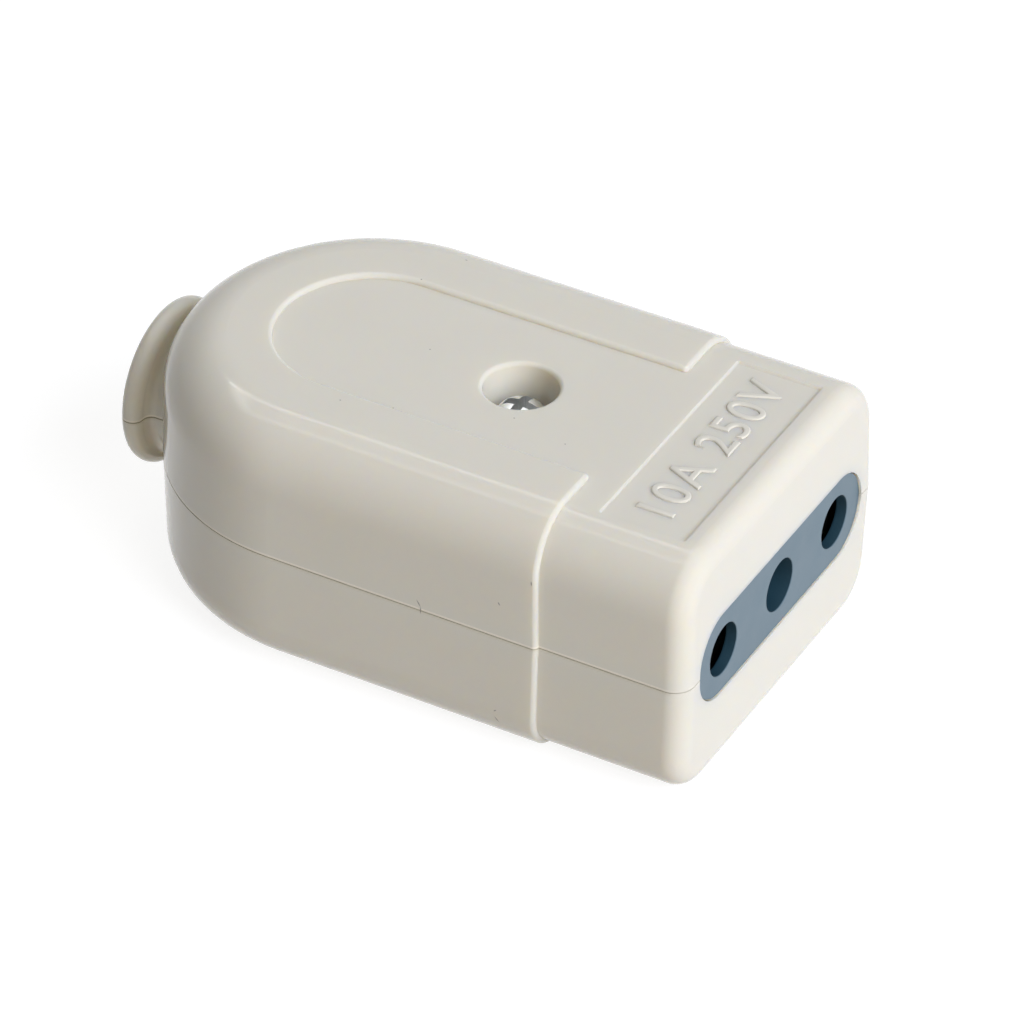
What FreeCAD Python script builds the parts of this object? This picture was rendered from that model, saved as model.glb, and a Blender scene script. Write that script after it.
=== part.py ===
import FreeCAD, Part
import math
import os
import re

import Sketcher

# In-line power socket for three pins in a row: a clamshell case with its working parts.
# Every sub-part is drawn in one model frame: X is 0 on the case's front face and negative behind it,
# Y is 0 on the middle plane and Z is 0 on the parting plane. Its Placement stands it on the base.

SIZES = (
    # Case
    ("body_width", 33.0, "width in front of the step"),
    ("upper_height", 10.85, "upper half, seam to flat top"),
    ("lower_height", 11.2, "lower half, seam to flat bottom"),
    ("round_depth", 37.05, "front face to the centre of the round rear end"),
    ("overall_length", 56.85, "front face to the end of the bell-mouth"),
    ("draft", 1.3, "draft angle of the moulded sides, degrees"),
    ("edge_radius", 4.7, "long edges of the upper half"),
    ("base_radius", 4.2, "long edges of the lower half"),
    ("front_radius", 1.75, "edges round the front face"),
    ("step", 0.43, "height of the raised rear part"),
    ("step_depth", 12.75, "front face to the raised part"),
    ("step_round", 0.38, "rounding of the raised part's border"),
    ("arm_round", 0.4, "corners of the raised part beside the recess"),
    ("recess_width", 16.0, "U-shaped recess in the raised part"),
    ("panel_front", 2.8, "front face to the sunk rating panel"),
    ("panel_rear", 10.2, "front face to the far edge of the rating panel"),
    ("panel_width", 23.3, "rating panel across the case"),
    ("panel_sink", 0.18, "depth of the rating panel"),
    ("panel_end", 0.2, "slope at each end of the rating panel"),
    ("panel_bevel", 0.15, "bevel of the rating panel's far edge"),
    ("wall", 2.0, "wall of the case"),
    ("front_wall", 1.9, "front wall of the case"),
    ("seam_gap", 0.1, "gap between the two halves"),
    # Bell-mouth
    ("cord_bore", 8.5, "passage for the cord"),
    ("neck_diameter", 10.7, "outside of the bell-mouth's neck"),
    ("mouth_diameter", 14.1, "outside of the bell-mouth's lip"),
    ("lip_radius", 0.9, "rounding of the lip"),
    # Pins and front plate
    ("pin_pitch", 9.5, "spacing of the pins"),
    ("pin_diameter", 4.0, "pin of the mating plug"),
    ("entry_diameter", 4.5, "pin entry"),
    ("entry_bevel", 0.05, "bevel of the pin entries"),
    ("face_width", 27.6, "front plate, end to end"),
    ("face_height", 7.66, "front plate, top to bottom"),
    ("face_recess", 0.22, "front plate behind the case's face"),
    ("face_plate", 0.85, "thickness of the front plate"),
    ("face_gap", 0.06, "clearance of the front plate in its window"),
    ("tab_height", 6.2, "middle to the tips of the retaining tabs"),
    ("tab_width", 11.0, "retaining tabs across"),
    ("tab_thickness", 1.2, "retaining tabs, front to back"),
    ("sleeve_wall", 0.85, "wall of the earth sleeve"),
    # Shutter
    ("tongue_width", 4.8, "each shutter tongue"),
    ("ramp_rise", 0.9, "middle to the upper end of the ramp"),
    ("ramp_tip", 0.4, "thickness at the ramp's lower end"),
    ("bridge_thickness", 1.4, "bar between the tongues, front to back"),
    ("bridge_height", 1.5, "bar between the tongues, height"),
    ("shutter_gap", 0.2, "clearance round the shutter"),
    ("spring_wire", 0.36, "wire of the shutter springs"),
    ("spring_diameter", 2.5, "mean diameter of the shutter springs"),
    ("spring_turns", 5.0, "turns of the shutter springs"),
    ("spring_seat", 1.2, "middle to the bottom of the spring pockets"),
    ("spring_gap", 0.25, "clearance of the springs in their pockets"),
    # Contacts and terminals
    ("sheet", 0.7, "brass sheet of the contacts"),
    ("grip_gap", 0.04, "clearance of a pin in its contact"),
    ("contact_front", 12.6, "front face to the contact sleeves"),
    ("contact_rear", 18.0, "front face to the end of the contact sleeves"),
    ("slit_width", 0.6, "slits of the contact sleeves"),
    ("slit_length", 3.8, "length of the slits"),
    ("joggle", 0.6, "length of the straps' joggle"),
    ("strap_width", 3.2, "straps that lead to the terminals"),
    ("strap_rise", 3.3, "middle to the underside of the raised strap"),
    ("terminal_width", 5.4, "box clamps across"),
    ("terminal_length", 3.6, "box clamps, front to back"),
    ("terminal_wall", 0.9, "floor and side walls of the box clamps"),
    ("terminal_roof", 1.3, "threaded roof of the box clamps"),
    ("terminal_window", 2.7, "opening of the box clamps"),
    ("terminal_thread", 2.5, "thread of the terminal screws"),
    ("terminal_head", 3.5, "heads of the terminal screws"),
    ("terminal_head_height", 1.1, "height of those heads"),
    ("thread_gap", 0.02, "clearance of a thread in its hole"),
    # Contact carrier
    ("carrier_front", 7.1, "front face to the carrier's front wall"),
    ("carrier_wall", 1.0, "front wall of the carrier"),
    ("carrier_rear", 18.8, "front face to the back of the carrier"),
    ("carrier_floor", 4.6, "middle to the underside of the carrier"),
    ("carrier_side", 5.5, "middle to the top of its side walls"),
    ("barrier_top", 8.5, "middle to the top of the barriers between the poles"),
    ("channel_gap", 0.07, "clearance of a contact sleeve in its channel"),
    ("guide_wall", 1.0, "ledges under the shutter"),
    ("guide_side", 0.5, "guides beside the shutter"),
    ("key_width", 1.6, "keys in the underside of the carrier"),
    ("key_height", 1.2, "height of those keys"),
    ("key_gap", 0.1, "clearance of a key in its groove"),
    # Case screw and nut
    ("screw_depth", 23.56, "front face to the case screw"),
    ("well_diameter", 6.14, "well over the screw's head"),
    ("well_depth", 4.5, "depth of the well"),
    ("well_round", 0.35, "rounding of the well's rim"),
    ("boss_wall", 1.3, "wall of the screw bosses"),
    ("screw_diameter", 3.5, "case screw"),
    ("screw_gap", 0.15, "clearance of the screw in its hole"),
    ("head_diameter", 4.6, "head of the case screw"),
    ("head_height", 2.8, "height of that head"),
    ("head_dome", 1.9, "rounding of that head"),
    ("drive_width", 0.8, "cross recess, width of an arm"),
    ("drive_length", 2.9, "cross recess, across"),
    ("drive_depth", 1.5, "cross recess, depth"),
    ("nut_flats", 6.0, "hexagon nut across flats"),
    ("nut_height", 2.8, "height of the nut"),
    ("nut_gap", 0.1, "clearance of the nut in its pocket"),
    ("nut_roof", 6.2, "seam to the roof of the nut's pocket"),
    # Ribs and cord clamp
    ("rib", 1.4, "thickness of the ribs under and behind the carrier"),
    ("rib_front", 9.5, "front face to the first rib"),
    ("rib_rear", 15.5, "front face to the second rib"),
    ("rib_width", 25.0, "ribs across"),
    ("rib_stop_top", 2.5, "seam down to the top of the stops behind the carrier"),
    ("rib_stop_width", 5.0, "each stop across"),
    ("clamp_back", 7.3, "inside of the rear wall to the middle of the cord clamp"),
    ("clamp_width", 4.6, "cord clamp, front to back"),
    ("clamp_length", 19.2, "cord clamp across"),
    ("clamp_top", 5.2, "seam to the top of the cord clamp"),
    ("clamp_arch", 7.8, "arch of the clamp over the cord"),
    ("clamp_spacing", 14.0, "between the clamp's screws"),
    ("post_diameter", 5.2, "posts under the clamp"),
    ("post_top", 0.5, "seam down to the top of the posts"),
    ("saddle_top", 4.3, "seam down to the rib under the cord"),
    ("tapping_diameter", 2.5, "screws of the cord clamp"),
    ("tapping_length", 10.5, "length under the head of those screws"),
    ("tapping_head", 4.8, "heads of those screws"),
    ("tapping_head_height", 1.7, "height of those heads"),
    ("slot_width", 0.7, "driver slots of the small screws"),
    ("slot_depth", 0.6, "depth of those slots"),
)

NEAR = 0.02
POLES = {"line": "-pin_pitch", "earth": "0", "neutral": "pin_pitch"}
KEYS = {"left": "-pin_pitch / 2", "right": "pin_pitch / 2"}

# Places that follow from the sizes above.
PARTING = "lower_height + step + seam_gap / 2"
CEILING = "(upper_height - wall + seam_gap / 2)"
FRONT_INSIDE = "(front_wall + (upper_height - wall) * tan(draft))"
SHUTTER_FRONT = f"({FRONT_INSIDE} + shutter_gap)"
SHUTTER_REAR = "(carrier_front - shutter_gap)"
SHUTTER_LOW = "(entry_diameter / 2 + shutter_gap / 2)"
BRIDGE_LOW = "(pin_diameter / 2 + shutter_gap)"
SHUTTER_TOP = f"({BRIDGE_LOW} + bridge_height)"
BRIDGE_FRONT = f"({SHUTTER_REAR} - bridge_thickness)"
SPRING_X = f"(-({SHUTTER_FRONT} + {SHUTTER_REAR}) / 2)"
CONTACT_BORE = "(pin_diameter + 2 * grip_gap)"
CONTACT_OUTSIDE = f"({CONTACT_BORE} + 2 * sheet)"
CHANNEL = f"({CONTACT_OUTSIDE} / 2 + channel_gap)"
CARRIER_HALF = "(pin_pitch + tongue_width / 2 + shutter_gap + guide_side)"
CHANNEL_FRONT = "(carrier_front + carrier_wall)"
TERMINAL_FRONT = f"({CHANNEL_FRONT} + channel_gap)"
TERMINAL_TOP = "(strap_rise + terminal_window + terminal_roof)"
SCREW_SEAT = "(upper_height - well_depth + seam_gap / 2)"
SCREW_HOLE = "(screw_diameter + 2 * screw_gap)"
CLAMP_DEPTH = "(round_depth + body_width / 2 - wall - clamp_back)"
NUT_TOP = "(nut_roof + seam_gap / 2)"
PART_NODES = []

doc = FreeCAD.newDocument("inline_socket")
sheet = doc.addObject("Spreadsheet::Sheet", "sizes")
for row, (alias, number, note) in enumerate(SIZES, 1):
    sheet.set(f"A{row}", note)
    sheet.set(f"B{row}", str(number))
    sheet.setAlias(f"B{row}", alias)
doc.recompute()

ALIASES = re.compile(r"\b(" + "|".join(alias for alias, _, _ in SIZES) + r")\b")


def bound(text):
    """The same formula with each size written as a cell of the sheet."""
    return ALIASES.sub(r"sizes.\1", text)


def value(text):
    return float(sheet.evalExpression(text))


def new_body(label, across="0", rise=PARTING):
    """A body of the assembly, placed so that the case's base centre is the origin."""
    body = doc.addObject("PartDesign::Body", label)
    body.Label = label
    body.setExpression("Placement.Base.x", bound("overall_length / 2"))
    body.setExpression("Placement.Base.y", bound(across))
    body.setExpression("Placement.Base.z", bound(rise))
    PART_NODES.append(body)
    return body


def sketch(body, name, role, offset="0"):
    """A sketch on one of the body's own planes, moved along the plane's normal."""
    plane = next(f for f in body.Origin.OriginFeatures if f.Role == role)
    made = body.newObject("Sketcher::SketchObject", name)
    made.AttachmentSupport = [(plane, "")]
    made.MapMode = "FlatFace"
    made.setExpression("AttachmentOffset.Base.z", bound(offset))
    return made


def hold(made, axis, geometry, point, text):
    """Dimension one coordinate of a sketch point from the sketch's origin."""
    number = value(text)
    if abs(number) < 1e-9:
        other_axis = -2 if axis == "X" else -1
        made.addConstraint(Sketcher.Constraint("PointOnObject", geometry, point, other_axis))
        return
    ends = (-1, 1, geometry, point) if number > 0 else (geometry, point, -1, 1)
    index = made.addConstraint(Sketcher.Constraint("Distance" + axis, *ends, abs(number)))
    made.setExpression(f"Constraints[{index}]", bound(text if number > 0 else f"-({text})"))


def outline(made, points):
    """A closed outline. A point is (x, y), or (x, y, centre x, centre y, turn) where an arc leaves it."""
    spots = [FreeCAD.Vector(value(p[0]), value(p[1]), 0) for p in points]
    starts = []
    for index, point in enumerate(points):
        here, there = spots[index], spots[(index + 1) % len(points)]
        if len(point) == 2:
            starts.append((made.addGeometry(Part.LineSegment(here, there)), 1, 2))
            continue
        centre = FreeCAD.Vector(value(point[2]), value(point[3]), 0)
        first, last = (here, there) if point[4] > 0 else (there, here)
        angles = [math.atan2(v.y - centre.y, v.x - centre.x) for v in (first, last)]
        circle = Part.Circle(centre, FreeCAD.Vector(0, 0, 1), (here - centre).Length)
        arc = made.addGeometry(Part.ArcOfCircle(circle, *angles))
        starts.append((arc, 1, 2) if point[4] > 0 else (arc, 2, 1))
        chord = there - here
        axis = "X" if abs(chord.y) > abs(chord.x) else "Y"
        hold(made, axis, arc, 3, point[2] if axis == "X" else point[3])
    for index, (geometry, begin, _) in enumerate(starts):
        before, _, end = starts[index - 1]
        made.addConstraint(Sketcher.Constraint("Coincident", before, end, geometry, begin))
        hold(made, "X", geometry, begin, points[index][0])
        hold(made, "Y", geometry, begin, points[index][1])
    return made


def rectangle(made, low_x, low_y, high_x, high_y):
    return outline(made, [(low_x, low_y), (high_x, low_y), (high_x, high_y), (low_x, high_y)])


def circle(made, x, y, diameter):
    centre = FreeCAD.Vector(value(x), value(y), 0)
    geometry = made.addGeometry(Part.Circle(centre, FreeCAD.Vector(0, 0, 1), value(diameter) / 2))
    hold(made, "X", geometry, 3, x)
    hold(made, "Y", geometry, 3, y)
    index = made.addConstraint(Sketcher.Constraint("Diameter", geometry, value(diameter)))
    made.setExpression(f"Constraints[{index}]", bound(diameter))
    return made


def settle(feature):
    """Recompute, and stop at a feature that failed."""
    doc.recompute()
    if not feature.isValid() or feature.Shape.isNull() or not feature.Shape.isValid():
        raise RuntimeError(f"{feature.Name} failed: {feature.getStatusString()}")
    return feature


def extrude(kind, body, name, profile, length, reverse, symmetric, taper):
    feature = body.newObject(kind, name)
    feature.Profile = profile
    feature.setExpression("Length", bound(length))
    feature.SideType = "Symmetric" if symmetric else "One side"
    feature.Reversed = reverse
    if taper:
        feature.setExpression("TaperAngle", bound(taper))
    return feature


def pad(body, name, profile, length, reverse=False, symmetric=False, taper=None):
    """Add material along the sketch's normal, or against it where reverse is set."""
    return settle(extrude("PartDesign::Pad", body, name, profile, length, reverse, symmetric, taper))


def pocket(body, name, profile, length, reverse=False, symmetric=False, taper=None):
    """Cut against the sketch's normal, or along it where reverse is set."""
    before = body.Tip.Shape
    feature = settle(extrude("PartDesign::Pocket", body, name, profile, length, reverse, symmetric, taper))
    removed = before.Volume - feature.Shape.Volume
    if removed < 1e-4 and before.common(feature.AddSubShape).Volume < 1e-4:
        raise RuntimeError(f"{name} cuts nothing")
    return feature


def dress(kind, body, name, test, size_name, size):
    """Fillet or chamfer the edges of the body's last feature that pass a test."""
    base = body.Tip
    chosen = [f"Edge{i}" for i, edge in enumerate(base.Shape.Edges, 1) if test(edge)]
    if not chosen:
        raise RuntimeError(f"{name} finds no edge")
    feature = body.newObject(kind, name)
    feature.Base = (base, chosen)
    feature.setExpression(size_name, bound(size))
    return settle(feature)


def fillet(body, name, test, radius):
    return dress("PartDesign::Fillet", body, name, test, "Radius", radius)


def chamfer(body, name, test, size):
    return dress("PartDesign::Chamfer", body, name, test, "Size", size)


def level(edge, height):
    """Whether an edge lies at one height."""
    box = edge.BoundBox
    return abs(box.ZMin - height) < NEAR and abs(box.ZMax - height) < NEAR


def case_plan(made, front, half_width):
    """Plan of the case: square at the front, a half circle at the rear."""
    return outline(made, [
        (front, f"-({half_width})"),
        (front, half_width),
        ("-round_depth", half_width, "-round_depth", "0", 1),
        ("-round_depth", f"-({half_width})"),
    ])


def shell_outside(body, label, side, height, radius):
    """Drafted core, raised rear part with its U-shaped recess, and rounded edges."""
    below = side < 0
    top = side * value(height)
    lean = value(height) * math.tan(math.radians(value("draft")))

    plan = case_plan(sketch(body, label + "_plan", "XY_Plane"), "0", "body_width / 2")
    pad(body, label + "_core", plan, height, reverse=below, taper="-draft")

    def long_edge(edge):
        return level(edge, top) and edge.BoundBox.XMin < -lean - NEAR
    fillet(body, label + "_core_edges", long_edge, radius)

    def front_edge(edge):
        return edge.BoundBox.XMin > -lean - NEAR and not level(edge, 0)
    fillet(body, label + "_front_edges", front_edge, "front_radius")

    raised = sketch(body, label + "_raised_plan", "XY_Plane")
    case_plan(raised, "-step_depth", "body_width / 2 + step")
    pad(body, label + "_raised", raised, f"{height} + step", reverse=below, taper="-draft")
    rim = side * value(f"{height} + step")
    riser = -value("step_depth") - lean - value("step")

    def rim_edge(edge):
        return level(edge, rim) and edge.BoundBox.XMin < riser
    fillet(body, label + "_raised_edges", rim_edge, f"{radius} + step")

    recess = sketch(body, label + "_recess_plan", "XY_Plane", f"{'-' if below else ''}{height}")
    case_plan(recess, "-step_depth + step", "recess_width / 2")
    pocket(body, label + "_recess", recess, "2 * step", reverse=not below)
    inner = value("recess_width / 2") + NEAR

    def arm_corner(edge):
        box = edge.BoundBox
        upright = box.ZLength > value("step") / 2 and box.YLength < NEAR
        along = box.XMin > riser and box.XMax < -value("step_depth") + NEAR
        return upright and along and abs(box.YMax) < inner
    fillet(body, label + "_arm_corners", arm_corner, "arm_round")
    arms = riser - value("arm_round")

    def border(edge):
        box = edge.BoundBox
        reach = max(abs(box.YMin), abs(box.YMax))
        if level(edge, rim):
            return reach < inner or box.XMin > arms
        on_riser = box.XMin > riser and box.XMax < -value("step_depth") + NEAR and not level(edge, 0)
        return on_riser and reach > value("body_width / 2") + NEAR
    fillet(body, label + "_border", border, "step_round")


def shell_mouth(body, label, side):
    """Half of the bell-mouth: a neck with a rounded lip and a flared passage, turned about X."""
    start = "-(round_depth + body_width / 2 - wall / 2)"
    bore = "cord_bore / 2"
    neck = "neck_diameter / 2"
    lip = "mouth_diameter / 2 - lip_radius"
    lip_x = "-(overall_length - lip_radius)"
    end = "-overall_length"
    curl = f"({lip} - {neck})"
    flare = f"({lip} - {bore})"
    made = outline(sketch(body, label + "_mouth_profile", "XY_Plane"), [
        (start, bore),
        (start, neck),
        (f"{lip_x} + lip_radius + {curl}", neck, f"{lip_x} + lip_radius + {curl}", lip, -1),
        (f"{lip_x} + lip_radius", lip, lip_x, lip, 1),
        (end, lip, f"{end} + {flare}", lip, 1),
        (f"{end} + {flare}", bore),
    ])
    turned = body.newObject("PartDesign::Revolution", label + "_mouth")
    turned.Profile = made
    turned.ReferenceAxis = (made, ["H_Axis"])
    turned.Angle = 180
    turned.Reversed = side < 0
    settle(turned)


def stadium(made, half_length, half_height):
    """A flat-sided outline with half-round ends."""
    straight = f"({half_length} - ({half_height}))"
    return outline(made, [
        (f"-{straight}", f"-({half_height})"),
        (straight, f"-({half_height})", straight, "0", 1),
        (straight, half_height),
        (f"-{straight}", half_height, f"-{straight}", "0", 1),
    ])


def hexagon(made, x, flats):
    """A hexagon about a point of the X axis, with two sides along X."""
    half = f"({flats}) / 2"
    corner = f"({flats}) / 2 / cos(30)"
    return outline(made, [
        (f"{x} + {corner}", "0"),
        (f"{x} + {corner} / 2", half),
        (f"{x} - {corner} / 2", half),
        (f"{x} - {corner}", "0"),
        (f"{x} - {corner} / 2", f"-({half})"),
        (f"{x} + {corner} / 2", f"-({half})"),
    ])


def shell(label, side, height, radius, rise):
    """One moulded half, from the parting plane outwards: outside, mouth, hollow and window."""
    body = new_body(label, rise=rise)
    below = side < 0
    shell_outside(body, label, side, height, radius)
    shell_mouth(body, label, side)

    cavity = sketch(body, label + "_cavity_plan", "XY_Plane")
    case_plan(cavity, "-front_wall", "body_width / 2 - wall")
    pocket(body, label + "_cavity", cavity, f"{height} - wall", reverse=not below, taper="-draft")
    ceiling = side * value(f"{height} - wall")
    front = -value("front_wall") - value(height) * math.tan(math.radians(value("draft"))) - NEAR

    def hollow_edge(edge):
        return level(edge, ceiling) and edge.BoundBox.XMin < front
    fillet(body, label + "_cavity_edges", hollow_edge, f"{radius} - wall")

    window = sketch(body, label + "_window_outline", "YZ_Plane")
    stadium(window, "face_width / 2 + face_gap", "face_height / 2 + face_gap")
    pocket(body, label + "_window", window, "2 * front_wall")

    passage = sketch(body, label + "_passage_outline", "YZ_Plane", "-overall_length")
    circle(passage, "0", "0", "cord_bore")
    pocket(body, label + "_passage", passage, "overall_length - round_depth", reverse=True)
    return body


def boss(body, name, diameter, start, length, reverse):
    """A round post on the case screw's axis."""
    plan = circle(sketch(body, name + "_plan", "XY_Plane", start), "-screw_depth", "0", diameter)
    return pad(body, name, plan, length, reverse=reverse)


def screw_hole(body, name, start, diameter, depth, reverse):
    plan = circle(sketch(body, name + "_plan", "XY_Plane", start), "-screw_depth", "0", diameter)
    return pocket(body, name, plan, depth, reverse=reverse)


def upper_shell():
    body = shell("upper_shell", 1, "upper_height", "edge_radius", f"{PARTING} + seam_gap / 2")
    boss(body, "upper_boss", f"{SCREW_HOLE} + 2 * boss_wall", "0", "upper_height - wall / 2", False)
    well_floor = "upper_height - well_depth - boss_wall"
    well_rise = "well_depth + boss_wall - wall / 2"
    boss(body, "well_boss", "well_diameter + 2 * boss_wall", well_floor, well_rise, False)
    screw_hole(body, "well", "upper_height", "well_diameter", "well_depth", False)
    screw_hole(body, "upper_screw_hole", "0", SCREW_HOLE, "upper_height", True)
    panel = outline(sketch(body, "panel_outline", "YZ_Plane", "-panel_front"), [
        ("-panel_width / 2", "upper_height"),
        ("-(panel_width / 2 - panel_end)", "upper_height - panel_sink"),
        ("panel_width / 2 - panel_end", "upper_height - panel_sink"),
        ("panel_width / 2", "upper_height"),
    ])
    pocket(body, "panel", panel, "panel_rear - panel_front")
    bevel = outline(sketch(body, "panel_bevel_profile", "XZ_Plane"), [
        ("-(panel_rear + 2 * panel_bevel)", "upper_height + panel_bevel"),
        ("-panel_rear", "upper_height - panel_bevel"),
        ("-(panel_rear - panel_bevel)", "upper_height - panel_bevel"),
        ("-(panel_rear - panel_bevel)", "upper_height + panel_bevel"),
    ])
    pocket(body, "panel_far_bevel", bevel, "panel_width - panel_end", symmetric=True)

    def well_rim(edge):
        wide = abs(edge.BoundBox.YLength - value("well_diameter")) < NEAR
        return wide and level(edge, value("upper_height"))
    fillet(body, "well_rim", well_rim, "well_round")


def rise_from_floor(body, name, plan, top):
    """A rib or post of the lower half, from a level below the seam down into the floor."""
    return pad(body, name, plan, f"lower_height - wall / 2 - ({top})", reverse=True)


def lower_shell():
    body = shell("lower_shell", -1, "lower_height", "base_radius", f"{PARTING} - seam_gap / 2")
    nut_pocket = "nut_flats + 2 * nut_gap"
    boss(body, "lower_boss", f"{SCREW_HOLE} + 2 * boss_wall", "0", "lower_height - wall / 2", True)
    roof = "nut_roof - boss_wall"
    nut_boss = f"({nut_pocket}) / cos(30) + 2 * boss_wall"
    boss(body, "nut_boss", nut_boss, f"-({roof})", f"lower_height - wall / 2 - ({roof})", True)
    screw_hole(body, "lower_screw_hole", "0", SCREW_HOLE, "lower_height", False)
    plan = hexagon(sketch(body, "nut_pocket_plan", "XY_Plane", "-lower_height"), "-screw_depth", nut_pocket)
    pocket(body, "nut_pocket", plan, "lower_height - nut_roof", reverse=True)

    seat = "carrier_floor - seam_gap / 2"
    for name, depth in (("carrier_rib_front", "rib_front"), ("carrier_rib_rear", "rib_rear")):
        plan = sketch(body, name + "_plan", "XY_Plane", f"-({seat})")
        rectangle(plan, f"-({depth} + rib)", "-rib_width / 2", f"-{depth}", "rib_width / 2")
        rise_from_floor(body, name, plan, seat)
    for hand, across in KEYS.items():
        plan = sketch(body, f"carrier_key_{hand}_plan", "XY_Plane", f"-({seat} - key_height)")
        left, right = f"{across} - key_width / 2", f"{across} + key_width / 2"
        rectangle(plan, "-(rib_rear + rib)", left, "-rib_front", right)
        rise_from_floor(body, f"carrier_key_{hand}", plan, f"{seat} - key_height")
    for pole in ("line", "neutral"):
        plan = sketch(body, f"carrier_stop_{pole}_plan", "XY_Plane", "-rib_stop_top")
        middle = POLES[pole]
        rectangle(plan, "-(carrier_rear + rib)", f"{middle} - rib_stop_width / 2",
                  "-carrier_rear", f"{middle} + rib_stop_width / 2")
        rise_from_floor(body, f"carrier_stop_{pole}", plan, "rib_stop_top")

    saddle = sketch(body, "cord_saddle_plan", "XY_Plane", "-saddle_top")
    far, near = f"-({CLAMP_DEPTH} + rib / 2)", f"-({CLAMP_DEPTH} - rib / 2)"
    rectangle(saddle, far, "-clamp_arch / 2", near, "clamp_arch / 2")
    rise_from_floor(body, "cord_saddle", saddle, "saddle_top")
    seat = "post_top - seam_gap / 2"
    for hand, across in (("left", "-clamp_spacing / 2"), ("right", "clamp_spacing / 2")):
        plan = sketch(body, f"clamp_post_{hand}_plan", "XY_Plane", f"-({seat})")
        circle(plan, f"-{CLAMP_DEPTH}", across, "post_diameter")
        rise_from_floor(body, f"clamp_post_{hand}", plan, seat)
        plan = sketch(body, f"clamp_hole_{hand}_plan", "XY_Plane", f"-({seat})")
        circle(plan, f"-{CLAMP_DEPTH}", across, "tapping_diameter + 2 * thread_gap")
        pocket(body, f"clamp_hole_{hand}", plan, "tapping_length - clamp_top")


def socket_face():
    """Front plate with the three pin entries, its retaining tabs and the earth sleeve."""
    body = new_body("socket_face")
    plate = sketch(body, "plate_outline", "YZ_Plane", "-face_recess")
    stadium(plate, "face_width / 2", "face_height / 2")
    pad(body, "plate", plate, "face_plate", reverse=True)
    rooted = "face_recess + face_plate / 2"
    behind = f"{FRONT_INSIDE} + face_gap"
    for hand, sign in (("upper", ""), ("lower", "-")):
        tab = outline(sketch(body, f"tab_{hand}_profile", "XZ_Plane"), [
            (f"-({rooted})", f"{sign}(face_height / 2 - tab_thickness)"),
            (f"-({rooted})", f"{sign}(face_height / 2)"),
            (f"-({behind})", f"{sign}(face_height / 2)"),
            (f"-({behind})", f"{sign}tab_height"),
            (f"-({behind} + tab_thickness)", f"{sign}tab_height"),
            (f"-({behind} + tab_thickness)", f"{sign}(face_height / 2 - tab_thickness)"),
        ])
        pad(body, f"tab_{hand}", tab, "tab_width", symmetric=True)
    sleeve = sketch(body, "earth_sleeve_outline", "YZ_Plane", f"-({rooted})")
    circle(sleeve, "0", "0", "entry_diameter + 2 * sleeve_wall")
    pad(body, "earth_sleeve", sleeve, f"{BRIDGE_FRONT} - shutter_gap - ({rooted})", reverse=True)
    entries = sketch(body, "entry_outlines", "YZ_Plane", "-face_recess")
    for across in POLES.values():
        circle(entries, across, "0", "entry_diameter")
    pocket(body, "entries", entries, SHUTTER_REAR)

    def entry_edge(edge):
        if edge.Curve.TypeId != "Part::GeomCircle" or edge.Curve.Radius > value("entry_diameter / 2") + NEAR:
            return False
        return abs(edge.BoundBox.XMax + value("face_recess")) < NEAR
    chamfer(body, "entry_bevels", entry_edge, "entry_bevel")


def shutter():
    """Sliding gate: two ramped tongues on a bar that passes over the earth pin."""
    body = new_body("shutter")
    bridge = sketch(body, "bridge_profile", "XZ_Plane")
    rectangle(bridge, f"-{SHUTTER_REAR}", BRIDGE_LOW, f"-{BRIDGE_FRONT}", SHUTTER_TOP)
    pad(body, "bridge", bridge, "2 * pin_pitch + tongue_width", symmetric=True)
    for pole in ("line", "neutral"):
        tongue = outline(sketch(body, f"tongue_{pole}_profile", "XZ_Plane", f"-({POLES[pole]})"), [
            (f"-{SHUTTER_FRONT}", SHUTTER_TOP),
            (f"-{SHUTTER_FRONT}", "ramp_rise"),
            (f"-({SHUTTER_REAR} - ramp_tip)", f"-{SHUTTER_LOW}"),
            (f"-{SHUTTER_REAR}", f"-{SHUTTER_LOW}"),
            (f"-{SHUTTER_REAR}", SHUTTER_TOP),
        ])
        pad(body, f"tongue_{pole}", tongue, "tongue_width", symmetric=True)
    pockets = sketch(body, "spring_pocket_plan", "XY_Plane", SHUTTER_TOP)
    for pole in ("line", "neutral"):
        circle(pockets, SPRING_X, POLES[pole], "spring_diameter + spring_wire + 2 * spring_gap")
    pocket(body, "spring_pockets", pockets, f"{SHUTTER_TOP} - spring_seat")


def place(piece, x, y, z):
    """Place a piece that isn't a body by the same model frame."""
    piece.setExpression("Placement.Base.x", bound(f"overall_length / 2 + {x}"))
    piece.setExpression("Placement.Base.y", bound(y))
    piece.setExpression("Placement.Base.z", bound(f"{PARTING} + {z}"))


def shutter_spring(label, across):
    """Coil spring from the pocket in the shutter to the ceiling of the case."""
    coil = doc.addObject("Part::Helix", label + "_coil")
    wire = doc.addObject("Part::Circle", label + "_wire")
    foot = "spring_seat + spring_wire / 2 + thread_gap"
    length = f"({CEILING} - spring_seat - spring_wire - 2 * thread_gap)"
    coil.setExpression("Radius", bound("spring_diameter / 2"))
    coil.setExpression("Height", bound(length))
    coil.setExpression("Pitch", bound(f"{length} / spring_turns"))
    coil.SegmentLength = 1
    place(coil, SPRING_X, across, foot)
    wire.setExpression("Radius", bound("spring_wire / 2"))
    wire.Placement.Rotation = FreeCAD.Rotation(FreeCAD.Vector(1, 0, 0), 90)
    place(wire, f"{SPRING_X} + spring_diameter / 2", across, foot)
    spring = doc.addObject("Part::Sweep", label)
    spring.Label = label
    spring.Sections = [wire]
    spring.Spine = (coil, [])
    spring.Solid = True
    spring.Frenet = True
    PART_NODES.append(settle(spring))


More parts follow.
